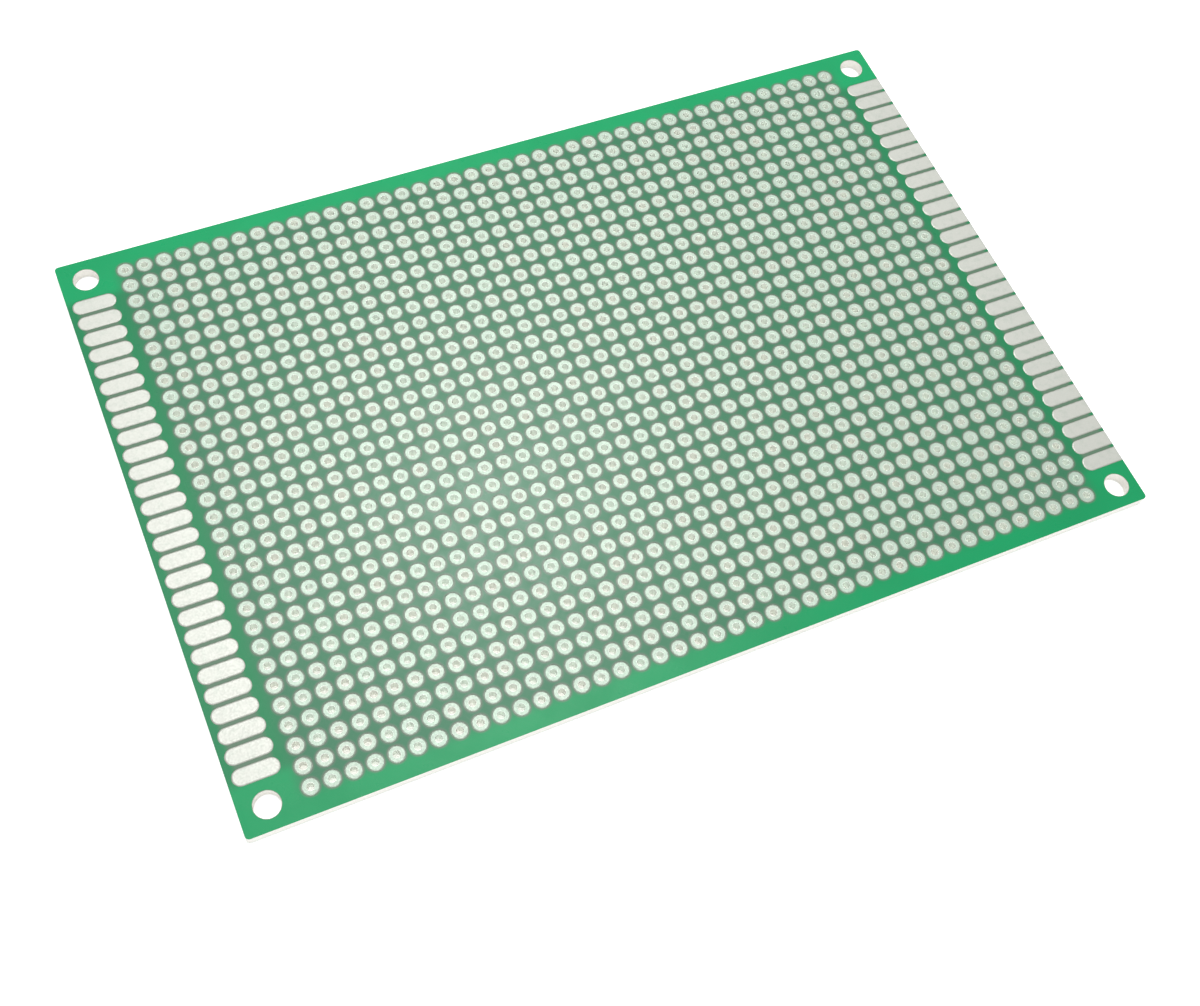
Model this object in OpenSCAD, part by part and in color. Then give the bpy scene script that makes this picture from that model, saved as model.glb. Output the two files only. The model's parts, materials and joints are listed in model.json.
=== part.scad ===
// Double-sided prototype board: a green coated glass-fibre sheet drilled on a 0.1 inch grid,
// with a tin-plated hole and a pad on both faces at every grid point, a row of edge pads
// along each short side of both faces and four bare mounting holes in the corners.
// Frame: +X along the long side, +Y across, +Z up. The origin is the centre of the
// rectangle that the board covers, on the plane that the underside pads rest on.

/* [Board] */
// Length of the board along its long side
board_len = 120; // [60:1:140]
// Width of the board along its short side
board_w = 80; // [30:1:100]
// Thickness of the coated sheet, without the pads
board_t = 1.5; // [0.8:0.1:2.4]
// Radius of the board's four corners
corner_r = 0.5; // [0.1:0.1:2]

/* [Hole grid] */
// Distance between neighbouring holes
pitch = 2.54; // [2.4:0.01:5.08]
// Bore left open for a component lead
lead_d = 1; // [0.6:0.05:1.2]
// Diameter of the round pad at each end of a plated hole
pad_d = 2; // [1.5:0.05:2.2]
// Thickness of the metal that lines a hole
plating_t = 0.05; // [0.03:0.01:0.1]
// Height of a pad over the sheet
pad_t = 0.06; // [0.05:0.01:0.15]
// Depth and width of the bevel at the mouth of a plated hole
mouth = 0.05; // [0.02:0.01:0.07]
// Least bare width between the outer pads and the long edges
edge_clear = 1.5; // [0.5:0.1:8]
// Least bare width between the outer pads and the edge pads or mounting holes
strip_clear = 0.5; // [0.5:0.1:6]
// Sideways shift of the grid from the middle of the board
grid_shift = 0.48; // [-0.3:0.02:0.6]

/* [Edge pads] */
// Length of an edge pad
finger_len = 5.45; // [3:0.05:8]
// Width of an edge pad
finger_w = 2; // [1.2:0.05:2.2]
// Straight stretch left in the middle of a rounded pad end
finger_flat = 0.1; // [0.05:0.05:1]
// Distance of the left-hand edge pads from the left edge
finger_inset = 0.65; // [0.3:0.05:2]
// Least bare width between the outer edge pads and the mounting holes
finger_clear = 0.6; // [0.3:0.1:6]

/* [Mounting holes] */
// Diameter of a mounting hole
mount_d = 3.2; // [2:0.1:4]
// Distance of the mounting holes from the short edges, before their shift
mount_inset_x = 3.1; // [2.5:0.1:5]
// Distance of the mounting holes from the long edges
mount_inset_y = 3; // [2.5:0.1:5]
// Sideways shift of the mounting holes from the middle of the board
mount_shift = 0.25; // [-0.4:0.05:0.4]

/* [Hidden] */
$fn = 32;

// Heights of the stack, from the underside pads up
board_z = pad_t;
board_top = board_z + board_t;
stack_t = board_top + pad_t;

// Plated holes
lead_r = lead_d / 2;
drill_r = lead_r + plating_t;
pad_r = pad_d / 2;

// As many columns and rows as the free field takes
end_strip = max(finger_inset + finger_len, mount_inset_x + mount_d / 2);
field_len = board_len - 2 * (end_strip + strip_clear + pad_r);
field_w = board_w - 2 * (edge_clear + pad_r);
columns = floor(field_len / pitch) + 1;
rows = floor(field_w / pitch) + 1;

// Mounting holes
mount_r = mount_d / 2;
mount_x = board_len / 2 - mount_inset_x;
mount_y = board_w / 2 - mount_inset_y;

// Edge pads stand half a pitch off the rows, as many as fit between the mounting holes
finger_r = (finger_w - finger_flat) / 2;
finger_reach = mount_y - mount_r - finger_clear - finger_w / 2;
finger_skip = max(0, ceil((rows - 2) / 2 - finger_reach / pitch));
fingers = rows - 1 - 2 * finger_skip;
finger_left_x = -board_len / 2 + finger_inset + finger_len / 2;
finger_right_x = board_len / 2 - finger_len / 2;

function column_x(c) = grid_shift + (c - (columns - 1) / 2) * pitch;
function row_y(r) = ((rows - 1) / 2 - r) * pitch;
function finger_y(f) = ((fingers - 1) / 2 - f) * pitch;
function row_name(r) = str("plated_holes_row_", r < 9 ? "0" : "", r + 1);

coat_colour = "#1fa566";
tin_colour = "#dfe4da";

// What a rounded corner loses: the part of a square at the corner outside the arc
module corner_waste(x, y, r) {
    translate([x, y])
        difference() {
            square(2 * r, center = true);
            translate([-sign(x) * r, -sign(y) * r]) circle(r);
        }
}

// Rectangle about the origin with rounded corners at the given ends, -1 left and 1 right
module rounded_rect(len, w, r, ends = [-1, 1]) {
    difference() {
        square([len, w], center = true);
        for (end = ends, side = [-1, 1]) corner_waste(end * len / 2, side * w / 2, r);
    }
}

module at_grid() {
    for (r = [0:rows - 1], c = [0:columns - 1])
        translate([column_x(c), row_y(r)]) children();
}

module at_mounts() {
    for (sx = [-1, 1], sy = [-1, 1])
        translate([mount_shift + sx * mount_x, sy * mount_y]) children();
}

module at_fingers() {
    for (f = [0:fingers - 1]) translate([0, finger_y(f)]) children();
}

// Coated glass-fibre sheet with every hole drilled
module substrate() {
    color(coat_colour)
        translate([0, 0, board_z])
            linear_extrude(board_t)
                difference() {
                    rounded_rect(board_len, board_w, corner_r);
                    at_grid() circle(drill_r);
                    at_mounts() circle(mount_r);
                }
}

// Lined hole with a pad on each face, turned from its section as one piece of metal
module plated_hole() {
    rotate_extrude()
        polygon([
            [lead_r + mouth, 0],
            [pad_r, 0],
            [pad_r, board_z],
            [drill_r, board_z],
            [drill_r, board_top],
            [pad_r, board_top],
            [pad_r, stack_t],
            [lead_r + mouth, stack_t],
            [lead_r, stack_t - mouth],
            [lead_r, mouth]
        ]);
}

// One row of plated holes, counted from the far long edge
module plated_holes_row(r) {
    color(tin_colour)
        for (c = [0:columns - 1])
            translate([column_x(c), row_y(r), 0]) plated_hole();
}

// Left-hand edge pads, round at both ends and clear of the edge, standing on height z
module edge_pads_left(z) {
    color(tin_colour)
        translate([finger_left_x, 0, z])
            at_fingers() linear_extrude(pad_t) rounded_rect(finger_len, finger_w, finger_r);
}

// Right-hand edge pads, round at their inner ends and cut off square at the board's edge
module edge_pads_right(z) {
    color(tin_colour)
        translate([finger_right_x, 0, z])
            at_fingers() linear_extrude(pad_t) rounded_rect(finger_len, finger_w, finger_r, [-1]);
}

substrate();
for (r = [0:rows - 1])
    plated_holes_row(r);
edge_pads_left(board_top);  // edge_pads_left_top
edge_pads_left(0);  // edge_pads_left_underside
edge_pads_right(board_top);  // edge_pads_right_top
edge_pads_right(0);  // edge_pads_right_underside
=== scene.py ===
"""Looks of a green prototype board: tinned lead holes, edge pads, solder mask and laminate.

Every length is in metres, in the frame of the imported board: +X along the long side, +Y across
it, +Z up out of the top face, with the origin under the middle of the board.
"""

import json
import logging
import math
from dataclasses import dataclass
from enum import Enum

import bmesh
import bpy
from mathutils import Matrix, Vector


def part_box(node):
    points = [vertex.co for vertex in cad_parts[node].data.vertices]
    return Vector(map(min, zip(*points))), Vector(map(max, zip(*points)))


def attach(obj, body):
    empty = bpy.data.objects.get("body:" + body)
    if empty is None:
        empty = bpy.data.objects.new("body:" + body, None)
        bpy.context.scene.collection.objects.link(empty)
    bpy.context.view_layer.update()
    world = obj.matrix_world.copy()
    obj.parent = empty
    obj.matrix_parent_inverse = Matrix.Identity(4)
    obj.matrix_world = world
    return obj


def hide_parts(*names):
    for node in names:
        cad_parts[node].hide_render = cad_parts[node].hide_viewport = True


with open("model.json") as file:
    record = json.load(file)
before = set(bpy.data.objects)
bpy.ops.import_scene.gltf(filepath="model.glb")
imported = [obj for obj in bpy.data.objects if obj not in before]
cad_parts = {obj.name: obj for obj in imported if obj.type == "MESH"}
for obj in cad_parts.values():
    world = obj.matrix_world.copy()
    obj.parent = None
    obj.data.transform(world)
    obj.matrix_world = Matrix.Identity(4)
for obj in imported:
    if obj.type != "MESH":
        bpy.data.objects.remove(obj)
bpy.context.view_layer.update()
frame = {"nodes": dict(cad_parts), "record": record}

MM = 0.001
BODY = "root"
SHEET = "substrate"
MERGE_DISTANCE = 1e-7
PLATING_T = 0.05 * MM
GLASS_THREAD = 0.5 * MM
LOG = logging.getLogger("prototype_board")

Colour = tuple[float, float, float, float]
Triple = tuple[float, float, float]
Ring = tuple[float, float]
Span = tuple[float, float]
Box = tuple[Vector, Vector]
Input = bpy.types.NodeSocket | float | Colour | Triple | Vector


class Face(Enum):
    """The two faces of the board."""

    TOP = "top"
    UNDERSIDE = "underside"


class Side(Enum):
    """The two short sides of the board."""

    LEFT = "left"
    RIGHT = "right"


class Slot(Enum):
    """Material slots of the record."""

    LAMINATE = "coated_laminate"
    TIN = "tin"


# Work on objects


def pick(obj: bpy.types.Object) -> None:
    """Makes one object the only selected and active one.

    Args:
        obj: The object that the next operators act on.
    """
    bpy.ops.object.select_all(action="DESELECT")
    obj.select_set(True)
    bpy.context.view_layer.objects.active = obj


def clear_selection() -> None:
    """Leaves nothing selected, so that a new primitive starts alone."""
    bpy.ops.object.select_all(action="DESELECT")


def new_piece(name: str) -> bpy.types.Object:
    """Names the primitive that was just added.

    Args:
        name: Name for the object and its mesh.

    Returns:
        The active object.
    """
    obj = bpy.context.active_object
    obj.name = name
    obj.data.name = name
    return obj


def start_edit(obj: bpy.types.Object) -> None:
    """Opens an object in edit mode with nothing selected.

    Args:
        obj: The object.
    """
    pick(obj)
    bpy.ops.object.mode_set(mode="EDIT")
    bpy.ops.mesh.select_all(action="DESELECT")


def end_edit() -> None:
    """Goes back to object mode."""
    bpy.ops.object.mode_set(mode="OBJECT")


def close_mesh() -> None:
    """Merges doubled points of the open mesh and turns its faces outwards."""
    bpy.ops.mesh.select_all(action="SELECT")
    bpy.ops.mesh.remove_doubles(threshold=MERGE_DISTANCE)
    bpy.ops.mesh.normals_make_consistent(inside=False)


def settle(obj: bpy.types.Object) -> None:
    """Puts an object's place, turn and scale into its mesh."""
    pick(obj)
    bpy.ops.object.transform_apply(location=True, rotation=True, scale=True)


def repeat(obj: bpy.types.Object, count: int, step: Vector) -> None:
    """Repeats a mesh along a line.

    Args:
        obj: The object to repeat.
        count: How many copies the line has, the first one included.
        step: From one copy to the next.
    """
    pick(obj)
    row = obj.modifiers.new("row", "ARRAY")
    row.count = count
    row.use_relative_offset = False
    row.use_constant_offset = True
    row.constant_offset_displace = step
    bpy.ops.object.modifier_apply(modifier=row.name)


def copy_of(obj: bpy.types.Object, name: str) -> bpy.types.Object:
    """Copies an object with a mesh of its own.

    Args:
        obj: The object to copy.
        name: Name for the copy.

    Returns:
        The copy.
    """
    pick(obj)
    bpy.ops.object.duplicate(linked=False)
    return new_piece(name)


def turned_over(obj: bpy.types.Object, name: str, middle: float) -> bpy.types.Object:
    """Copies a piece of the top face to the underside, by half a turn about the long axis.

    Args:
        obj: The piece on the top face.
        name: Name for the copy.
        middle: Height of the board's middle plane.

    Returns:
        The copy.
    """
    twin = copy_of(obj, name)
    twin.rotation_euler = (math.pi, 0, 0)
    twin.location = (0, 0, 2 * middle)
    settle(twin)
    return twin


def smooth(obj: bpy.types.Object, angle: float) -> None:
    """Shades a piece smooth across edges that turn by less than an angle.

    Args:
        obj: The piece.
        angle: Largest turn across a smooth edge, in radians.
    """
    pick(obj)
    bpy.ops.object.shade_smooth_by_angle(angle=angle)


def give_material(obj: bpy.types.Object, material: bpy.types.Material) -> None:
    """Gives an object one material."""
    obj.data.materials.clear()
    obj.data.materials.append(material)


def rectangle(name: str, low: Vector, high: Vector, height: float) -> bpy.types.Object:
    """Adds a flat rectangle.

    Args:
        name: Name for the object.
        low: Lowest corner along X and Y.
        high: Highest corner along X and Y.
        height: Height at which it lies.

    Returns:
        The rectangle, one face.
    """
    clear_selection()
    bpy.ops.mesh.primitive_plane_add(size=1)
    obj = new_piece(name)
    obj.scale = (high.x - low.x, high.y - low.y, 1)
    obj.location = ((low.x + high.x) / 2, (low.y + high.y) / 2, height)
    settle(obj)
    return obj


def thicken(obj: bpy.types.Object, thickness: float) -> None:
    """Makes a flat outline a closed solid that stands on it.

    Args:
        obj: The outline.
        thickness: Height of the solid.
    """
    start_edit(obj)
    bpy.ops.mesh.select_all(action="SELECT")
    bpy.ops.mesh.extrude_region_move(TRANSFORM_OT_translate={"value": (0, 0, thickness)})
    close_mesh()
    end_edit()


def turned_from(section: list[Ring], segments: int, name: str) -> bpy.types.Object:
    """Turns a closed section about the Z axis, ring by ring.

    Args:
        section: Radius and height of each corner, once round the section.
        segments: Number of sides of a ring.
        name: Name for the object.

    Returns:
        The turned object, standing on the Z axis.
    """
    radius, height = section[0]
    clear_selection()
    bpy.ops.mesh.primitive_circle_add(
        vertices=segments, radius=radius, fill_type="NOTHING", location=(0, 0, height)
    )
    obj = new_piece(name)
    settle(obj)
    start_edit(obj)
    bpy.ops.mesh.select_all(action="SELECT")
    for next_radius, next_height in section[1:] + section[:1]:
        bpy.ops.mesh.extrude_edges_move(
            TRANSFORM_OT_translate={"value": (0, 0, next_height - height)}
        )
        scale = next_radius / radius
        bpy.ops.transform.resize(value=(scale, scale, 1), center_override=(0, 0, next_height))
        radius, height = next_radius, next_height
    close_mesh()
    end_edit()
    return obj


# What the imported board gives


def edge_node(side: Side, face: Face) -> str:
    """Names the node that holds one side's edge pads on one face."""
    return f"edge_pads_{side.value}_{face.value}"


@dataclass(frozen=True)
class BoardFrame:
    """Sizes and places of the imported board.

    Attributes:
        low: Lowest corner of the drilled sheet.
        high: Highest corner of the drilled sheet.
        rows: Names of the nodes that hold one row of plated holes each, from the far edge.
        columns: Number of holes in a row.
        pitch: Distance between neighbouring holes.
        first: Centre of the first hole of the first row, at height 0.
        pad_r: Radius of a round pad.
        pad_t: Height of a pad over the sheet.
        lead_r: Radius of the bore in a plated hole.
        mount_r: Radius of a mounting hole.
        mount_middle: Middle of the four mounting holes.
        mount_span: Distances between the mounting holes along X and Y.
    """

    low: Vector
    high: Vector
    rows: tuple[str, ...]
    columns: int
    pitch: float
    first: Vector
    pad_r: float
    pad_t: float
    lead_r: float
    mount_r: float
    mount_middle: Vector
    mount_span: Span

    @classmethod
    def read(cls) -> "BoardFrame":
        """Reads the board from the loaded frame.

        Returns:
            The sizes and places.
        """
        low, high = (Vector(corner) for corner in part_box(SHEET))
        rows = tuple(sorted(n for n in frame["nodes"] if n.startswith("plated_holes_row_")))
        row_low, row_high = (Vector(corner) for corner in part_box(rows[0]))
        next_low, _ = (Vector(corner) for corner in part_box(rows[1]))
        pitch = row_low.y - next_low.y
        pad_d = row_high.y - row_low.y
        mounts = {mount["name"]: mount for mount in frame["record"]["mounts"]}
        corners = mounts["corner_holes"]
        return cls(
            low=low,
            high=high,
            rows=rows,
            columns=round((row_high.x - row_low.x - pad_d) / pitch) + 1,
            pitch=pitch,
            first=Vector((row_low.x + pad_d / 2, row_low.y + pad_d / 2, 0)),
            pad_r=pad_d / 2,
            pad_t=row_high.z - high.z,
            lead_r=mounts["lead_hole"]["dims"]["r_mm"] * MM,
            mount_r=corners["dims"]["hole_r_mm"] * MM,
            mount_middle=Vector(corners["pos_m"]),
            mount_span=(
                corners["dims"]["spacing_x_mm"] * MM,
                corners["dims"]["spacing_y_mm"] * MM,
            ),
        )

    @property
    def middle_z(self) -> float:
        """Height of the plane halfway through the sheet."""
        return (self.low.z + self.high.z) / 2

    @property
    def last_x(self) -> float:
        """Place of the last column along X."""
        return self.first.x + (self.columns - 1) * self.pitch

    def field(self) -> Box:
        """Works out the rectangle that the hole grid covers.

        Returns:
            Its lowest and highest corner, half a pitch outside the outer holes.
        """
        half = Vector((self.pitch, self.pitch, 0)) / 2
        last_y = self.first.y - (len(self.rows) - 1) * self.pitch
        low = Vector((self.first.x, last_y, 0)) - half
        return low, Vector((self.last_x, self.first.y, 0)) + half

    def lanes(self) -> list[Box]:
        """Works out the lanes from the short edges to the outer columns.

        Returns:
            Lowest and highest corner of the left lane and of the right one.
        """
        (left_low, left_high), (right_low, right_high) = self.strips()
        return [
            (Vector((self.low.x, *left_low[1:])), Vector((self.first.x, *left_high[1:]))),
            (Vector((self.last_x, *right_low[1:])), Vector((self.high.x, *right_high[1:]))),
        ]

    def strips(self) -> list[Box]:
        """Works out the strips along the edge pads where the mask shows between them.

        Returns:
            Lowest and highest corner of the left strip and of the right one.
        """
        inset = Vector((self.pad_r, self.pad_r, 0))
        boxes = [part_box(edge_node(side, Face.TOP)) for side in Side]
        return [(Vector(low) + inset, Vector(high) - inset) for low, high in boxes]

    def mount_places(self) -> list[Vector]:
        """Works out where the mounting holes are.

        Returns:
            The centres of the four holes.
        """
        span_x, span_y = self.mount_span
        return [
            self.mount_middle + Vector((sx * span_x / 2, sy * span_y / 2, 0))
            for sx in (-1, 1)
            for sy in (-1, 1)
        ]


# Shader sketches


class NodeSketch:
    """Adds nodes to a shader tree and joins them."""

    def __init__(self, tree: bpy.types.NodeTree) -> None:
        """Starts on an empty tree.

        Args:
            tree: The tree of a material, world or group.
        """
        self.tree = tree
        self.tree.nodes.clear()

    def feed(self, socket: bpy.types.NodeSocket, value: Input) -> None:
        """Links a socket to an input, or sets the input's own value.

        Args:
            socket: The input socket.
            value: An output socket, a number, a colour or a vector.
        """
        if isinstance(value, bpy.types.NodeSocket):
            self.tree.links.new(value, socket)
        else:
            socket.default_value = value

    def feed_in_order(self, node: bpy.types.Node, *values: Input) -> None:
        """Feeds a node's inputs from the first one on."""
        for socket, value in zip(node.inputs, values):
            self.feed(socket, value)

    def feed_by_name(self, node: bpy.types.Node, inputs: dict[str, Input]) -> None:
        """Feeds a node's inputs by their names, with underscores for spaces."""
        for name, value in inputs.items():
            self.feed(node.inputs[name.replace("_", " ")], value)

    def add(self, kind: str, **inputs: Input) -> bpy.types.Node:
        """Adds a node and feeds its inputs.

        Args:
            kind: Type of the node without its ShaderNode prefix.
            **inputs: Inputs by name, with underscores for spaces.

        Returns:
            The node.
        """
        node = self.tree.nodes.new("ShaderNode" + kind)
        self.feed_by_name(node, inputs)
        return node

    def group(self, tree: bpy.types.NodeTree, **inputs: Input) -> bpy.types.Node:
        """Places a node group.

        Args:
            tree: The group's tree.
            **inputs: Its inputs by name, with underscores for spaces.

        Returns:
            The group node.
        """
        node = self.add("Group")
        node.node_tree = tree
        self.feed_by_name(node, inputs)
        return node

    def math(self, operation: str, *values: Input) -> bpy.types.NodeSocket:
        """Adds a Math node.

        Args:
            operation: Blender's name of the operation.
            *values: Up to three numbers or sockets.

        Returns:
            The result.
        """
        node = self.add("Math")
        node.operation = operation
        self.feed_in_order(node, *values)
        return node.outputs["Value"]

    def vector(self, operation: str, *values: Input) -> bpy.types.NodeSocket:
        """Adds a Vector Math node.

        Args:
            operation: Blender's name of the operation.
            *values: Vectors or sockets.

        Returns:
            The result, which is a number for a length.
        """
        node = self.add("VectorMath")
        node.operation = operation
        self.feed_in_order(node, *values)
        return node.outputs["Value" if operation == "LENGTH" else "Vector"]

    def mix(self, factor: Input, first: Input, second: Input) -> bpy.types.NodeSocket:
        """Mixes two colours.

        Args:
            factor: 0 for the first colour, 1 for the second.
            first: Colour or socket.
            second: Colour or socket.

        Returns:
            The mixed colour.
        """
        node = self.add("Mix", Factor=factor)
        node.data_type = "RGBA"
        colours = [socket for socket in node.inputs if socket.type == "RGBA"]
        for socket, value in zip(colours, (first, second)):
            self.feed(socket, value)
        return next(socket for socket in node.outputs if socket.type == "RGBA")

    def ramp(
        self, value: Input, start: Input, end: Input, low: Input = 0.0, high: Input = 1.0
    ) -> bpy.types.NodeSocket:
        """Maps a value from one range to another, with a soft start and end.

        Args:
            value: Number or socket.
            start: Value that gives low.
            end: Value that gives high.
            low: Result at and before start.
            high: Result at and after end.

        Returns:
            The mapped value.
        """
        node = self.add("MapRange")
        node.interpolation_type = "SMOOTHSTEP"
        self.feed_in_order(node, value, start, end, low, high)
        return node.outputs["Result"]


def new_group(
    name: str, inputs: dict[str, str], outputs: dict[str, str]
) -> tuple[NodeSketch, bpy.types.Node, bpy.types.Node]:
    """Starts a shader node group.

    Args:
        name: Name of the group.
        inputs: Socket types of its inputs by name.
        outputs: Socket types of its outputs by name.

    Returns:
        The sketch, its input node and its output node.
    """
    tree = bpy.data.node_groups.new(name, "ShaderNodeTree")
    for side, sockets in (("INPUT", inputs), ("OUTPUT", outputs)):
        for label, kind in sockets.items():
            tree.interface.new_socket(label, in_out=side, socket_type="NodeSocket" + kind)
    sketch = NodeSketch(tree)
    return sketch, tree.nodes.new("NodeGroupInput"), tree.nodes.new("NodeGroupOutput")


class SharedEffects:
    """Shader groups that more than one material uses.

    Attributes:
        BROAD_DETAIL: Octaves of the mottling.
        FINE_DETAIL: Octaves of the ripple.
        FINENESS: How many times finer the ripple is than the mottling.
        FADE_END: Pitches inside the grid's outline at which its fade is over.
        grain: Uneven mottling with a finer ripple.
        weave: Plain weave of the glass cloth.
        cell: The hole grid.
        patch: A rectangle with soft sides.
    """

    BROAD_DETAIL = 3.0
    FINE_DETAIL = 2.0
    FINENESS = 4.0
    FADE_END = 0.75

    def __init__(self) -> None:
        """Builds each group once."""
        self.grain = self.build_grain()
        self.weave = self.build_weave()
        self.cell = self.build_cell()
        self.patch = self.build_patch()

    def build_grain(self) -> bpy.types.NodeTree:
        """Builds uneven mottling with a finer ripple on it.

        Returns:
            Group with the inputs Vector and Size, and the outputs Mottle and Ripple.
        """
        sketch, given, result = new_group(
            "uneven_grain",
            {"Vector": "Vector", "Size": "Float"},
            {"Mottle": "Float", "Ripple": "Float"},
        )
        place = given.outputs["Vector"]
        scale = sketch.math("DIVIDE", 1.0, given.outputs["Size"])
        broad = sketch.add("TexNoise", Vector=place, Scale=scale, Detail=self.BROAD_DETAIL)
        fine_scale = sketch.math("MULTIPLY", scale, self.FINENESS)
        fine = sketch.add("TexNoise", Vector=place, Scale=fine_scale, Detail=self.FINE_DETAIL)
        sketch.feed(result.inputs["Mottle"], broad.outputs["Fac"])
        sketch.feed(result.inputs["Ripple"], fine.outputs["Fac"])
        return sketch.tree

    def build_weave(self) -> bpy.types.NodeTree:
        """Builds the plain weave of the glass cloth.

        Returns:
            Group with the inputs Vector and Thread, and the output Weave from 0 to 1.
        """
        sketch, given, result = new_group(
            "glass_weave", {"Vector": "Vector", "Thread": "Float"}, {"Weave": "Float"}
        )
        turn = sketch.math("DIVIDE", math.pi, given.outputs["Thread"])
        axes = sketch.add("SeparateXYZ", Vector=given.outputs["Vector"]).outputs
        warp = sketch.math("SINE", sketch.math("MULTIPLY", axes["X"], turn))
        weft = sketch.math("SINE", sketch.math("MULTIPLY", axes["Y"], turn))
        both = sketch.math("MULTIPLY", warp, weft)
        # The two waves together run from -1 to 1
        sketch.feed(result.inputs["Weave"], sketch.math("MULTIPLY_ADD", both, 0.5, 0.5))
        return sketch.tree

    def build_cell(self) -> bpy.types.NodeTree:
        """Builds the hole grid: which hole a point belongs to and how far off it lies.

        Returns:
            Group with the inputs Vector, First, Pitch, Count and Fade, and the outputs Distance
            in metres, Chance from 0 to 1 for each hole, Within, which is 1 in the grid's cells
            and 0 elsewhere, and Inside, which fades out over Fade pitches around them.
        """
        sketch, given, result = new_group(
            "hole_cell",
            {
                "Vector": "Vector",
                "First": "Vector",
                "Pitch": "Float",
                "Count": "Vector",
                "Fade": "Vector",
            },
            {"Distance": "Float", "Chance": "Float", "Within": "Float", "Inside": "Float"},
        )
        pitch = given.outputs["Pitch"]
        from_first = sketch.vector("SUBTRACT", given.outputs["Vector"], given.outputs["First"])
        # Rows are counted towards -Y
        flat = sketch.vector("MULTIPLY", from_first, (1, -1, 0))
        pitches = sketch.add("CombineXYZ", X=pitch, Y=pitch, Z=1.0).outputs["Vector"]
        steps = sketch.vector("DIVIDE", flat, pitches)
        # A cell reaches half a step to each side of its hole
        shifted = sketch.vector("ADD", steps, (0.5, 0.5, 0))
        index = sketch.vector("FLOOR", shifted)
        off = sketch.vector("LENGTH", sketch.vector("SUBTRACT", steps, index))
        chance = sketch.add("TexWhiteNoise", Vector=index).outputs["Value"]
        left = sketch.vector("SUBTRACT", given.outputs["Count"], shifted)
        nearest = sketch.vector("MINIMUM", shifted, left)
        depth = sketch.add("SeparateXYZ", Vector=nearest).outputs
        least = sketch.math("MINIMUM", depth["X"], depth["Y"])
        outward = sketch.vector("MULTIPLY", given.outputs["Fade"], (-1, -1, 0))
        start = sketch.add("SeparateXYZ", Vector=outward).outputs
        fades = [sketch.ramp(depth[axis], start[axis], self.FADE_END) for axis in ("X", "Y")]
        sketch.feed(result.inputs["Distance"], sketch.math("MULTIPLY", off, pitch))
        sketch.feed(result.inputs["Chance"], chance)
        sketch.feed(result.inputs["Within"], sketch.math("GREATER_THAN", least, 0.0))
        sketch.feed(result.inputs["Inside"], sketch.math("MULTIPLY", *fades))
        return sketch.tree

    def build_patch(self) -> bpy.types.NodeTree:
        """Builds a rectangle with soft sides, seen from above.

        Returns:
            Group with the inputs Vector, Low, High and Soft, and the output Share, which is 1
            in the rectangle and fades to 0 over the distance Soft outside it.
        """
        sketch, given, result = new_group(
            "soft_patch",
            {"Vector": "Vector", "Low": "Vector", "High": "Vector", "Soft": "Float"},
            {"Share": "Float"},
        )
        place, soft = given.outputs["Vector"], given.outputs["Soft"]
        below = sketch.vector("SUBTRACT", given.outputs["Low"], place)
        above = sketch.vector("SUBTRACT", place, given.outputs["High"])
        outside = sketch.vector("MAXIMUM", below, above)
        axes = sketch.add("SeparateXYZ", Vector=outside).outputs
        fades = [sketch.ramp(axes[axis], 0.0, soft, 1.0, 0.0) for axis in ("X", "Y")]
        sketch.feed(result.inputs["Share"], sketch.math("MULTIPLY", *fades))
        return sketch.tree

    def patch_share(
        self, sketch: NodeSketch, place: bpy.types.NodeSocket, box: Box, soft: float
    ) -> bpy.types.NodeSocket:
        """Places a soft rectangle in a material.

        Args:
            sketch: The material's sketch.
            place: Object coordinates.
            box: Lowest and highest corner of the rectangle.
            soft: Distance over which it fades outside them.

        Returns:
            1 in the rectangle, 0 further out than the fade.
        """
        low, high = box
        patch = sketch.group(self.patch, Vector=place, Low=low, High=high, Soft=soft)
        return patch.outputs["Share"]


# Finishes


@dataclass(frozen=True)
class Finish:
    """What every finish knows.

    Attributes:
        effects: The shared shader groups.
        board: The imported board.
        ripple_span: Range of the fine ripple from the smoothest to the roughest places.
    """

    effects: SharedEffects
    board: BoardFrame
    ripple_span: Span = (0.3, 0.7)

    def start(self, name: str) -> tuple[bpy.types.Material, NodeSketch, bpy.types.NodeSocket]:
        """Starts a material on Object coordinates.

        Args:
            name: Name of the material.

        Returns:
            The material, the sketch of its tree and the coordinates.
        """
        material = bpy.data.materials.new(name)
        material.use_nodes = True
        sketch = NodeSketch(material.node_tree)
        return material, sketch, sketch.add("TexCoord").outputs["Object"]

    def hole_cell(
        self, sketch: NodeSketch, place: bpy.types.NodeSocket, fade: Triple = (0, 0, 0)
    ) -> bpy.types.Node:
        """Places the hole grid in a material.

        Args:
            sketch: The material's sketch.
            place: Object coordinates.
            fade: Pitches over which the grid fades out along X and Y.

        Returns:
            The group node.
        """
        board = self.board
        return sketch.group(
            self.effects.cell,
            Vector=place,
            First=board.first,
            Pitch=board.pitch,
            Count=(board.columns, len(board.rows), 0),
            Fade=fade,
        )


def end_material(
    sketch: NodeSketch, shader: bpy.types.Node, height: Input, strength: float, depth: float
) -> None:
    """Joins a bump and the output to a shader.

    Args:
        sketch: The material's sketch.
        shader: Its Principled shader.
        height: Height of the bump from 0 to 1.
        strength: Strength of the bump.
        depth: What a height of 1 stands for, in metres.
    """
    bump = sketch.add("Bump", Strength=strength, Distance=depth, Height=height)
    sketch.feed(shader.inputs["Normal"], bump.outputs["Normal"])
    sketch.add("OutputMaterial", Surface=shader.outputs["BSDF"])


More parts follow.
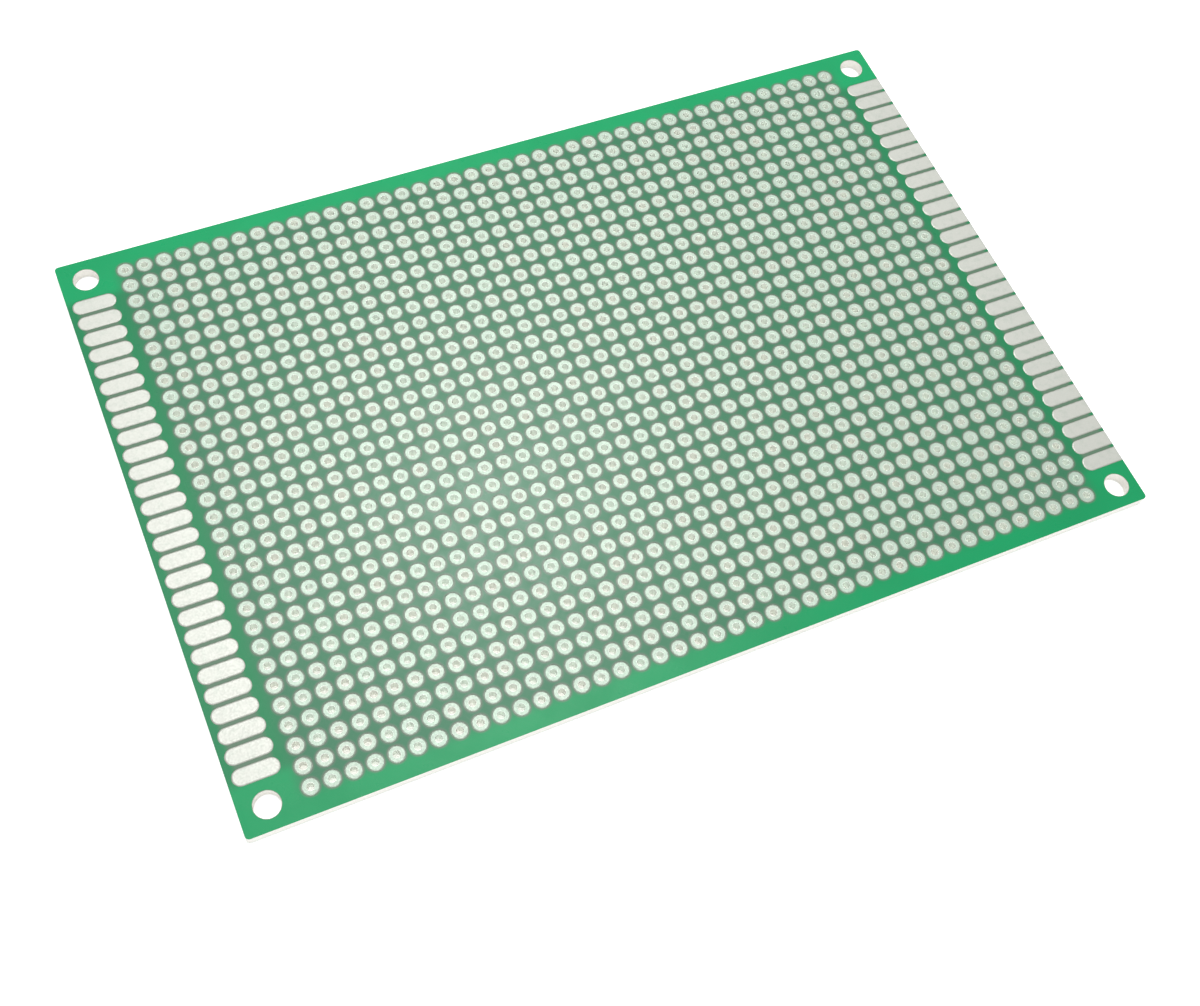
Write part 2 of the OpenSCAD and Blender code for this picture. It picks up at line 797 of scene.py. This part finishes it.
@dataclass(frozen=True)
class MaskFinish(Finish):
    """Glossy green solder mask, duller among the pads, with the cloth showing faintly.

    Attributes:
        green: Colour along the margins.
        deep_green_and_shade: Darker tone of the margins, used for the mottling and for painted
            shade.
        falloff_shade_share: How much of that tone is painted shade that darkens the mask towards
            the near edge, the rest being mottling.
        field: Colour between the round pads.
        field_share: How far the field takes that colour.
        field_fade: Pitches over which the field fades into the margins along X and Y.
        shade: Colour close round a pad.
        shade_width: Width of that shade.
        shade_share: How far the mask takes the shade at a pad's edge.
        lane: Colour between the edge pads and the outer columns.
        lane_soft: Width over which that colour fades into its surroundings.
        strip: Colour between the edge pads, darkened as painted shade of the pads.
        strip_soft: Width over which that colour fades at the strip's ends.
        thread: Width of a thread of the cloth.
        mottle_size: Size of the mottling.
        mottle_span: Range of the mottling from the margins' green to its darker tone.
        roughness: Smoothest and roughest places.
        gloss: Specular level.
        bump: Strength of the bump that the cloth leaves.
        bump_depth: Depth of that bump.
    """

    green: Colour = (0.002, 0.38, 0.133, 1)
    deep_green_and_shade: Colour = (0.002, 0.302, 0.105, 1)
    falloff_shade_share: float = 0.6
    field: Colour = (0.047, 0.186, 0.102, 1)
    field_share: float = 0.88
    field_fade: Triple = (0.4, 0.1, 0)
    shade: Colour = (0.19, 0.21, 0.175, 1)
    shade_width: float = 0.4 * MM
    shade_share: float = 0.7
    lane: Colour = (0.012, 0.235, 0.09, 1)
    lane_soft: float = 1.6 * MM
    strip: Colour = (0.12, 0.21, 0.14, 1)
    strip_soft: float = 0.9 * MM
    thread: float = GLASS_THREAD
    mottle_size: float = 9 * MM
    mottle_span: Span = (0.35, 0.7)
    roughness: Span = (0.27, 0.33)
    gloss: float = 0.26
    bump: float = 0.06
    bump_depth: float = 0.02 * MM

    def build(self) -> bpy.types.Material:
        """Builds the material.

        Returns:
            The material.
        """
        material, sketch, place = self.start("solder_mask")
        board, effects = self.board, self.effects
        grain = sketch.group(effects.grain, Vector=place, Size=self.mottle_size)
        weave = sketch.group(effects.weave, Vector=place, Thread=self.thread)
        cell = self.hole_cell(sketch, place, self.field_fade).outputs
        across = sketch.add("SeparateXYZ", Vector=place).outputs["Y"]
        # Painted shade: the mask takes more of its darker tone towards the near edge.
        falloff_shade = sketch.ramp(across, board.high.y, board.low.y, 0.0, self.falloff_shade_share)
        mottle_share = 1.0 - self.falloff_shade_share
        mottle = sketch.ramp(grain.outputs["Mottle"], *self.mottle_span, 0.0, mottle_share)
        colour = sketch.mix(sketch.math("ADD", falloff_shade, mottle), self.green, self.deep_green_and_shade)
        for box in board.lanes():
            share = effects.patch_share(sketch, place, box, self.lane_soft)
            colour = sketch.mix(share, colour, self.lane)
        field = sketch.math("MULTIPLY", cell["Inside"], self.field_share)
        colour = sketch.mix(field, colour, self.field)
        shade_end = board.pad_r + self.shade_width
        near = sketch.ramp(cell["Distance"], board.pad_r, shade_end, self.shade_share, 0.0)
        colour = sketch.mix(sketch.math("MULTIPLY", near, cell["Within"]), colour, self.shade)
        # Painted shade: the mask between the edge pads is darkened as if the pads shaded it.
        for box in board.strips():
            share = effects.patch_share(sketch, place, box, self.strip_soft)
            colour = sketch.mix(share, colour, self.strip)
        roughness = sketch.ramp(grain.outputs["Ripple"], *self.ripple_span, *self.roughness)
        shader = sketch.add(
            "BsdfPrincipled",
            Base_Color=colour,
            Roughness=roughness,
            Specular_IOR_Level=self.gloss,
        )
        end_material(sketch, shader, weave.outputs["Weave"], self.bump, self.bump_depth)
        return material


@dataclass(frozen=True)
class TinFinish(Finish):
    """Satin tin plating, slightly different from pad to pad, with painted light in the bores.

    Attributes:
        edge: Colour of the edge pads.
        cool: Colour of the coolest round pads.
        warm: Colour of the warmest round pads.
        dull: Colour of dull patches.
        dull_span: Range of the mottling over which a dull patch comes in.
        dull_share: How far a dull patch takes its colour.
        bore: Colour of the palest bores, far paler than the pads as painted light.
        warm_bore_light: Colour of the warmest bores, also painted light.
        bore_edge: Distance outside the bore over which its colour fades.
        bore_roughness: Roughness in the bores.
        ripple_size: Size of the uneven patches.
        roughness: Smoothest and roughest places of the edge pads.
        round_roughness: Smoothest and roughest places of the round pads.
        bump: Strength of the uneven surface.
        bump_depth: Depth of that unevenness.
    """

    edge: Colour = (0.475, 0.485, 0.447, 1)
    cool: Colour = (0.384, 0.474, 0.402, 1)
    warm: Colour = (0.402, 0.471, 0.406, 1)
    dull: Colour = (0.35, 0.40, 0.35, 1)
    dull_span: Span = (0.45, 0.75)
    dull_share: float = 0.3
    bore: Colour = (0.875, 0.925, 0.88, 1)
    warm_bore_light: Colour = (0.895, 0.91, 0.87, 1)
    bore_edge: float = 0.01 * MM
    bore_roughness: float = 0.7
    ripple_size: float = 0.9 * MM
    roughness: Span = (0.48, 0.57)
    round_roughness: Span = (0.52, 0.61)
    bump: float = 0.25
    bump_depth: float = 0.03 * MM

    def build(self) -> bpy.types.Material:
        """Builds the material.

        Returns:
            The material.
        """
        material, sketch, place = self.start("tin_plating")
        grain = sketch.group(self.effects.grain, Vector=place, Size=self.ripple_size)
        cell = self.hole_cell(sketch, place).outputs
        chance, within = cell["Chance"], cell["Within"]
        colour = sketch.mix(within, self.edge, sketch.mix(chance, self.cool, self.warm))
        dull = sketch.ramp(grain.outputs["Mottle"], *self.dull_span, 0.0, self.dull_share)
        colour = sketch.mix(dull, colour, self.dull)
        lead_r = self.board.lead_r
        # Painted light: the bores take a far paler colour than the pads, as if lit inside.
        in_bore = sketch.ramp(cell["Distance"], lead_r, lead_r + self.bore_edge, 1.0, 0.0)
        in_bore = sketch.math("MULTIPLY", in_bore, within)
        bore = sketch.mix(chance, self.bore, self.warm_bore_light)
        colour = sketch.mix(in_bore, colour, bore)
        limits = [
            sketch.ramp(within, 0.0, 1.0, *pair)
            for pair in zip(self.roughness, self.round_roughness)
        ]
        roughness = sketch.ramp(grain.outputs["Ripple"], *self.ripple_span, *limits)
        roughness = sketch.ramp(in_bore, 0.0, 1.0, roughness, self.bore_roughness)
        shader = sketch.add(
            "BsdfPrincipled", Base_Color=colour, Roughness=roughness, Metallic=1.0
        )
        end_material(sketch, shader, grain.outputs["Mottle"], self.bump, self.bump_depth)
        return material


@dataclass(frozen=True)
class LaminateFinish(Finish):
    """Cut glass-fibre laminate: pale layered edges, and painted shade where a face lies bare.

    Attributes:
        edge: Colour of the glass at a cut edge.
        edge_resin: Colour of the resin between the layers of glass.
        shaded_bare_face: Colour of a bare face, dark as painted shade.
        layer: Thickness of one layer with its resin.
        layer_span: Range of the layers' wave from glass to resin.
        thread: Width of a thread of the cloth.
        weave_share: How far the cloth shows in a bare face.
        face_span: Upright part of the surface's direction, from a cut edge to a bare face.
        speck_size: Size of the specks.
        roughness: Smoothest and roughest places.
        bump: Strength of the layers' bump.
        bump_depth: Depth of that bump.
    """

    edge: Colour = (0.98, 0.965, 0.925, 1)
    edge_resin: Colour = (0.88, 0.87, 0.78, 1)
    shaded_bare_face: Colour = (0.26, 0.30, 0.23, 1)
    layer: float = 0.2 * MM
    layer_span: Span = (-0.6, 1.0)
    thread: float = GLASS_THREAD
    weave_share: float = 0.3
    face_span: Span = (0.6, 0.9)
    speck_size: float = 0.35 * MM
    roughness: Span = (0.55, 0.75)
    bump: float = 0.3
    bump_depth: float = 0.02 * MM

    def build(self) -> bpy.types.Material:
        """Builds the material.

        Returns:
            The material.
        """
        material, sketch, place = self.start("glass_laminate")
        grain = sketch.group(self.effects.grain, Vector=place, Size=self.speck_size)
        weave = sketch.group(self.effects.weave, Vector=place, Thread=self.thread)
        height = sketch.add("SeparateXYZ", Vector=place).outputs["Z"]
        wave = sketch.math("SINE", sketch.math("MULTIPLY", height, 2 * math.pi / self.layer))
        layers = sketch.ramp(wave, *self.layer_span)
        streaks = sketch.math("MULTIPLY", layers, grain.outputs["Mottle"])
        edge = sketch.mix(streaks, self.edge, self.edge_resin)
        normal = sketch.add("TexCoord").outputs["Normal"]
        upright = sketch.add("SeparateXYZ", Vector=normal).outputs["Z"]
        face_share = sketch.ramp(sketch.math("ABSOLUTE", upright), *self.face_span)
        threads = sketch.math("MULTIPLY", weave.outputs["Weave"], self.weave_share)
        # Painted shade: a bare face shows only in narrow gaps and is painted dark.
        face = sketch.mix(threads, self.shaded_bare_face, edge)
        colour = sketch.mix(face_share, edge, face)
        roughness = sketch.ramp(grain.outputs["Ripple"], *self.ripple_span, *self.roughness)
        shader = sketch.add("BsdfPrincipled", Base_Color=colour, Roughness=roughness)
        end_material(sketch, shader, streaks, self.bump, self.bump_depth)
        return material


# Pieces of the board


def join_in(
    piece: bpy.types.Object, material: bpy.types.Material, slot: Slot, *nodes: str
) -> None:
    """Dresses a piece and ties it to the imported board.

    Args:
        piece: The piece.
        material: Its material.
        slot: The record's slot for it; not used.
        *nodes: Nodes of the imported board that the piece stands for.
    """
    give_material(piece, material)
    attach(piece, BODY)
    if nodes:
        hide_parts(*nodes)


@dataclass
class PlatedHoles:
    """Rows of tinned holes, each a lined bore with a crowned pad on both faces.

    Attributes:
        board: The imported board.
        segments: Sides of a round pad.
        wall: Thickness of the metal in the bore.
        rim: Width of the rounded rim of a pad.
        dish: How far the mouth of the bore lies under the crown.
        smooth_angle: Largest turn across a smooth edge, in radians.
    """

    board: BoardFrame
    segments: int = 12
    wall: float = PLATING_T
    rim: float = 0.08 * MM
    dish: float = 0.006 * MM
    smooth_angle: float = math.radians(35)

    @property
    def even(self) -> float:
        """Share by which a pad's corners stand out, so that it covers as much as a round one."""
        turn = 2 * math.pi / self.segments
        return math.sqrt(turn / math.sin(turn))

    def section(self) -> list[Ring]:
        """Works out the section of one plated hole.

        Returns:
            Radius and height of each corner, from the upper pad's foot round to the barrel.
        """
        board = self.board
        crown = board.high.z + board.pad_t
        upper = [
            (self.even * board.pad_r, board.high.z),
            (self.even * board.pad_r - self.rim, crown),
            (board.lead_r, crown - self.dish),
        ]
        lower = [(radius, 2 * board.middle_z - height) for radius, height in reversed(upper)]
        drill_r = board.lead_r + self.wall
        return upper + lower + [(drill_r, board.low.z), (drill_r, board.high.z)]

    def build(self) -> list[bpy.types.Object]:
        """Models one plated hole, repeats it along a row and copies the row.

        Returns:
            One piece for each row, in the order of the board's rows.
        """
        board = self.board
        row = turned_from(self.section(), self.segments, "tinned_row_01")
        repeat(row, board.columns, Vector((board.pitch, 0, 0)))
        row.location = board.first
        settle(row)
        smooth(row, self.smooth_angle)
        pieces = [row]
        for number in range(2, len(board.rows) + 1):
            twin = copy_of(row, f"tinned_row_{number:02d}")
            twin.location = (0, -(number - 1) * board.pitch, 0)
            settle(twin)
            pieces.append(twin)
        return pieces

    def dress(self, pieces: list[bpy.types.Object], tin: bpy.types.Material) -> None:
        """Dresses the rows, each in place of its own node."""
        for piece, node in zip(pieces, self.board.rows):
            join_in(piece, tin, Slot.TIN, node)


@dataclass
class EdgePads:
    """One side's row of flat edge pads, with softly rounded upper edges.

    Attributes:
        board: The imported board.
        side: The short side that the pads lie along.
        end_flat: Straight stretch in the middle of a rounded end.
        round_steps: Sides of each quarter circle at a rounded end.
        rim: Width of the rounded rim.
        foot: Height of the pad's upright foot, as a share of its height.
        smooth_angle: Largest turn across a smooth edge, in radians.
    """

    board: BoardFrame
    side: Side
    end_flat: float = 0.1 * MM
    round_steps: int = 6
    rim: float = 0.1 * MM
    foot: float = 0.4
    smooth_angle: float = math.radians(16)

    @property
    def box(self) -> Box:
        """Lowest and highest corner of this side's upper pads."""
        low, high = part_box(edge_node(self.side, Face.TOP))
        return Vector(low), Vector(high)

    @property
    def count(self) -> int:
        """How many pads the row has."""
        low, high = self.box
        return math.floor((high.y - low.y) / self.board.pitch) + 1

    @property
    def width(self) -> float:
        """Width of one pad."""
        low, high = self.box
        return high.y - low.y - (self.count - 1) * self.board.pitch

    def outline(self, name: str, grow: float = 0.0, overrun: float = 0.0) -> bpy.types.Object:
        """Draws one pad's outline as a flat face at the first pad's place.

        Args:
            name: Name for the object.
            grow: How much wider than the pad the outline is, all round.
            overrun: How far a pad that is cut off at the edge runs on past it.

        Returns:
            The outline, at the height of the pad's foot.
        """
        low, high = self.box
        outer_grow = overrun if self.side is Side.RIGHT else grow
        near = Vector((low.x - grow, low.y - grow, 0))
        far = Vector((high.x + outer_grow, low.y + self.width + grow, 0))
        obj = rectangle(name, near, far, low.z)
        start_edit(obj)
        mesh = bmesh.from_edit_mesh(obj.data)
        for corner in mesh.verts:
            left_end = corner.co.x < (near.x + far.x) / 2
            corner.select_set(left_end or self.side is Side.LEFT)
        bmesh.update_edit_mesh(obj.data)
        bpy.ops.mesh.bevel(
            affect="VERTICES",
            offset=(self.width - self.end_flat) / 2 + grow,
            segments=self.round_steps,
        )
        end_edit()
        return obj

    def build(self) -> list[bpy.types.Object]:
        """Models one pad, repeats it and turns the row over for the underside.

        Returns:
            The row on the top face and the one on the underside.
        """
        board = self.board
        side = self.side.value
        row = self.outline(f"tinned_edge_{side}_top")
        start_edit(row)
        bpy.ops.mesh.select_all(action="SELECT")
        bpy.ops.mesh.extrude_region_move(
            TRANSFORM_OT_translate={"value": (0, 0, self.foot * board.pad_t)}
        )
        bpy.ops.mesh.inset(thickness=self.rim, depth=(1 - self.foot) * board.pad_t)
        close_mesh()
        end_edit()
        repeat(row, self.count, Vector((0, board.pitch, 0)))
        smooth(row, self.smooth_angle)
        return [row, turned_over(row, f"tinned_edge_{side}_underside", board.middle_z)]

    def dress(self, pieces: list[bpy.types.Object], tin: bpy.types.Material) -> None:
        """Dresses the two rows, each in place of its own node."""
        for piece, face in zip(pieces, Face):
            join_in(piece, tin, Slot.TIN, edge_node(self.side, face))


@dataclass(kw_only=True)
class Layer:
    """A flat layer with the board's outline and openings cut through it.

    Attributes:
        board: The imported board.
        corner_r: Radius of the board's corners.
        corner_steps: Sides of a rounded corner.
        segments: Sides of an opening in the hole grid.
        mount_segments: Sides of the opening at a mounting hole.
        cut_height: Height of the tools that cut the openings, half of it over the sheet.
    """

    board: BoardFrame
    corner_r: float = 0.5 * MM
    corner_steps: int = 4
    segments: int = 16
    mount_segments: int = 48
    cut_height: float = 4 * MM

    def slab(self, name: str, foot: float, thickness: float) -> bpy.types.Object:
        """Models the whole layer before its openings are cut.

        Args:
            name: Name for the object.
            foot: Height of its lower face.
            thickness: Its thickness.

        Returns:
            A slab with rounded corners.
        """
        obj = rectangle(name, self.board.low, self.board.high, foot)
        start_edit(obj)
        bpy.ops.mesh.select_all(action="SELECT")
        bpy.ops.mesh.bevel(affect="VERTICES", offset=self.corner_r, segments=self.corner_steps)
        end_edit()
        thicken(obj, thickness)
        return obj

    def round_tool(self, radius: float, segments: int, place: Vector) -> bpy.types.Object:
        """Makes a round cutting tool that stands across the sheet's upper face.

        Args:
            radius: Radius of the opening.
            segments: Sides of the opening.
            place: Centre of the opening.

        Returns:
            The tool.
        """
        clear_selection()
        bpy.ops.mesh.primitive_cylinder_add(
            vertices=segments,
            radius=radius,
            depth=self.cut_height,
            location=(place.x, place.y, self.board.high.z),
        )
        tool = new_piece("round_tool")
        settle(tool)
        return tool

    def round_tools(self, hole_r: float, mount_r: float) -> list[bpy.types.Object]:
        """Makes the tools for the hole grid and the mounting holes.

        Args:
            hole_r: Radius of an opening in the grid.
            mount_r: Radius of the opening at a mounting hole.

        Returns:
            The tools.
        """
        board = self.board
        grid = self.round_tool(hole_r, self.segments, board.first)
        repeat(grid, board.columns, Vector((board.pitch, 0, 0)))
        repeat(grid, len(board.rows), Vector((0, -board.pitch, 0)))
        mounts = [
            self.round_tool(mount_r, self.mount_segments, place) for place in board.mount_places()
        ]
        return [grid] + mounts

    @staticmethod
    def cut(layer: bpy.types.Object, tools: list[bpy.types.Object]) -> None:
        """Cuts openings through a layer and takes the tools away.

        Args:
            layer: The layer.
            tools: Closed tools that stand across it.
        """
        for tool in tools:
            opening = layer.modifiers.new("opening", "BOOLEAN")
            opening.operation = "DIFFERENCE"
            opening.solver = "MANIFOLD"
            opening.object = tool
            pick(layer)
            bpy.ops.object.modifier_apply(modifier=opening.name)
            bpy.data.objects.remove(tool)


@dataclass(kw_only=True)
class DrilledSheet(Layer):
    """The glass-fibre sheet, drilled for every plated hole and mounting hole.

    Attributes:
        wall: Thickness of the metal in a drilled hole.
        segments: Sides of a drilled hole.
        smooth_angle: Largest turn across a smooth edge, in radians.
    """

    wall: float = PLATING_T
    segments: int = 24
    smooth_angle: float = math.radians(35)

    def build(self) -> list[bpy.types.Object]:
        """Models the sheet and drills it.

        Returns:
            The sheet alone.
        """
        board = self.board
        sheet = self.slab("drilled_sheet", board.low.z, board.high.z - board.low.z)
        self.cut(sheet, self.round_tools(board.lead_r + self.wall, board.mount_r))
        smooth(sheet, self.smooth_angle)
        return [sheet]

    def dress(self, pieces: list[bpy.types.Object], laminate: bpy.types.Material) -> None:
        """Dresses the sheet, in place of its node."""
        for piece in pieces:
            join_in(piece, laminate, Slot.LAMINATE, SHEET)


@dataclass(kw_only=True)
class MaskCoat(Layer):
    """The printed mask on both faces, open round every pad and mounting hole.

    Attributes:
        edge_pads: The rows of edge pads that the mask leaves bare.
        thickness: Thickness of the coat.
        gap: Bare ring between the mask and a pad.
    """

    edge_pads: list[EdgePads]
    thickness: float = 0.03 * MM
    gap: float = 0.07 * MM

    def edge_tool(self, pads: EdgePads) -> bpy.types.Object:
        """Makes the tool for one side's edge pads.

        Args:
            pads: The row of edge pads.

        Returns:
            The tool.
        """
        tool = pads.outline("edge_tool", grow=self.gap, overrun=self.cut_height)
        tool.location.z -= self.cut_height / 2
        settle(tool)
        thicken(tool, self.cut_height)
        repeat(tool, pads.count, Vector((0, self.board.pitch, 0)))
        return tool

    def build(self) -> list[bpy.types.Object]:
        """Cuts the openings and turns a copy over for the underside.

        Returns:
            The coat on the top face and the one on the underside.
        """
        board = self.board
        coat = self.slab("solder_mask_top", board.high.z, self.thickness)
        self.cut(coat, self.round_tools(board.pad_r + self.gap, board.mount_r + self.gap))
        self.cut(coat, [self.edge_tool(pads) for pads in self.edge_pads])
        return [coat, turned_over(coat, "solder_mask_underside", board.middle_z)]

    def dress(self, pieces: list[bpy.types.Object], mask: bpy.types.Material) -> None:
        """Dresses the coats, which stand for no node."""
        for piece in pieces:
            join_in(piece, mask, Slot.LAMINATE)


# Studio


@dataclass(frozen=True)
class SoftBox:
    """A soft lamp that faces the board.

    Attributes:
        name: Name of the lamp.
        aim: The point that the lamp faces.
        azimuth: Direction of the lamp from +Y towards +X, in degrees.
        elevation: Height of the lamp over the horizon, in degrees.
        distance: Distance from the aim.
        size: Width of the square lamp.
        power: Power in watts.
    """

    name: str
    aim: Vector
    azimuth: float
    elevation: float
    distance: float
    size: float
    power: float

    def hang(self) -> None:
        """Hangs the lamp."""
        turn, rise = math.radians(self.azimuth), math.radians(self.elevation)
        way = Vector(
            (math.sin(turn) * math.cos(rise), math.cos(turn) * math.cos(rise), math.sin(rise))
        )
        data = bpy.data.lights.new(self.name, "AREA")
        data.shape = "SQUARE"
        data.size = self.size
        data.energy = self.power
        lamp = bpy.data.objects.new(self.name, data)
        lamp.location = self.aim + way * self.distance
        lamp.rotation_euler = (-way).to_track_quat("-Z", "Y").to_euler()
        bpy.context.scene.collection.objects.link(lamp)


@dataclass
class Studio:
    """White floor, soft light and the camera.

    Attributes:
        board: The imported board.
        effects: The shared shader groups.
        camera_place: Where the camera stands.
        camera_aim: The point on the board that the camera's axis meets.
        camera_roll: Turn of the camera about its view, in degrees.
        camera_shift: Sideways shift of the picture, as a share of its width.
        lens: Focal length in millimetres.
        sensor: Width of the sensor in millimetres.
        near_clip: Distance from which the camera sees.
        surroundings: Colour of the surroundings.
        ambient: Brightness of the surroundings as the board sees them.
        floor_size: Width of the floor.
        floor_gap: How far the floor lies under the pads.
        floor_colour: Colour of the floor.
        floor_lift: Light that the camera and reflections see on top of that.
        shaded_lift: The same under the lead holes, where the floor keeps more of its shade.
    """

    board: BoardFrame
    effects: SharedEffects
    camera_place: Vector
    camera_aim: Vector
    camera_roll: float = 11.707
    camera_shift: float = 0.0302
    lens: float = 45.014
    sensor: float = 36.0
    near_clip: float = 1 * MM
    surroundings: Colour = (1, 1, 1, 1)
    ambient: float = 0.57
    floor_size: float = 3.0
    floor_gap: float = 0.01 * MM
    floor_colour: Colour = (0.9, 0.9, 0.9, 1)
    floor_lift: Colour = (0.485, 0.485, 0.485, 1)
    shaded_lift: Colour = (0.34, 0.315, 0.295, 1)

    def set_camera(self) -> None:
        """Places the camera and makes it the scene's."""
        data = bpy.data.cameras.new("camera")
        data.sensor_fit = "HORIZONTAL"
        data.sensor_width = self.sensor
        data.lens = self.lens
        data.shift_x = self.camera_shift
        data.clip_start = self.near_clip
        camera = bpy.data.objects.new("camera", data)
        way = self.camera_aim - self.camera_place
        camera.rotation_euler = way.to_track_quat("-Z", "Y").to_euler()
        camera.rotation_euler.rotate_axis("Z", math.radians(self.camera_roll))
        camera.location = self.camera_place
        bpy.context.scene.collection.objects.link(camera)
        bpy.context.scene.camera = camera

    @staticmethod
    def seen(sketch: NodeSketch) -> bpy.types.NodeSocket:
        """Tells rays from the camera, reflections and glass from those that light the board.

        Args:
            sketch: The sketch of a material or world.

        Returns:
            1 for a ray that shows the background, 0 for any other.
        """
        path = sketch.add("LightPath").outputs
        seen = sketch.math("MAXIMUM", path["Is Camera Ray"], path["Is Glossy Ray"])
        return sketch.math("MAXIMUM", seen, path["Is Transmission Ray"])

    def set_world(self) -> None:
        """Makes even surroundings that the camera and reflections see as white."""
        world = bpy.data.worlds.new("studio")
        world.use_nodes = True
        bpy.context.scene.world = world
        sketch = NodeSketch(world.node_tree)
        strength = sketch.ramp(self.seen(sketch), 0.0, 1.0, self.ambient, 1.0)
        background = sketch.add("Background", Color=self.surroundings, Strength=strength)
        sketch.add("OutputWorld", Surface=background.outputs["Background"])

    def lay_floor(self) -> None:
        """Lays the white floor, which keeps the board's shadow."""
        clear_selection()
        bpy.ops.mesh.primitive_plane_add(size=self.floor_size, location=(0, 0, -self.floor_gap))
        floor = new_piece("floor")
        settle(floor)
        material = bpy.data.materials.new("white_floor")
        material.use_nodes = True
        sketch = NodeSketch(material.node_tree)
        place = sketch.add("TexCoord").outputs["Object"]
        paint = sketch.add("BsdfDiffuse", Color=self.floor_colour)
        soft = self.board.pitch / 2
        under = self.effects.patch_share(sketch, place, self.board.field(), soft)
        glow = sketch.mix(under, self.floor_lift, self.shaded_lift)
        lift = sketch.add("Emission", Color=glow, Strength=self.seen(sketch))
        both = sketch.add("AddShader")
        sketch.feed_in_order(both, paint.outputs["BSDF"], lift.outputs["Emission"])
        sketch.add("OutputMaterial", Surface=both.outputs["Shader"])
        give_material(floor, material)

    def build(self, lamps: list[SoftBox]) -> None:
        """Sets up the whole studio.

        Args:
            lamps: The soft lamps.
        """
        self.set_camera()
        self.set_world()
        self.lay_floor()
        for lamp in lamps:
            lamp.hang()
        bpy.context.scene.view_settings.view_transform = "Standard"


# The whole board


def studio_lamps() -> list[SoftBox]:
    """Chooses the lamps for the broad sheen, the highlight and the near edge.

    Returns:
        The lamps.
    """
    return [
        SoftBox(
            name="softbox",
            aim=Vector((-18, -22, 0)) * MM,
            azimuth=16,
            elevation=70,
            distance=0.32,
            size=0.2,
            power=0.27,
        ),
        SoftBox(
            name="lamp",
            aim=Vector((-20, -13, 0)) * MM,
            azimuth=28,
            elevation=63.8,
            distance=0.6,
            size=0.085,
            power=0.68,
        ),
        SoftBox(
            name="fill",
            aim=Vector((0, -40, 0)) * MM,
            azimuth=195,
            elevation=24,
            distance=0.8,
            size=0.4,
            power=1.75,
        ),
    ]


def main() -> None:
    """Builds the studio and every piece, and dresses them."""
    logging.basicConfig(level=logging.INFO, format="%(name)s %(message)s")
    board = BoardFrame.read()
    effects = SharedEffects()
    tin = TinFinish(effects, board).build()
    mask = MaskFinish(effects, board).build()
    laminate = LaminateFinish(effects, board).build()

    Studio(
        board,
        effects,
        camera_place=Vector((-58.052, -84.842, 166.594)) * MM,
        camera_aim=Vector((-11.254, -14.299, 1.62)) * MM,
    ).build(studio_lamps())

    edges = [EdgePads(board, side) for side in Side]
    parts = [
        (DrilledSheet(board=board), laminate),
        (PlatedHoles(board), tin),
        *((pads, tin) for pads in edges),
        (MaskCoat(board=board, edge_pads=edges), mask),
    ]
    for part, material in parts:
        pieces = part.build()
        part.dress(pieces, material)
        for piece in pieces:
            LOG.info("%s: %d faces, %s", piece.name, len(piece.data.polygons), material.name)


if __name__ == "__main__":
    main()
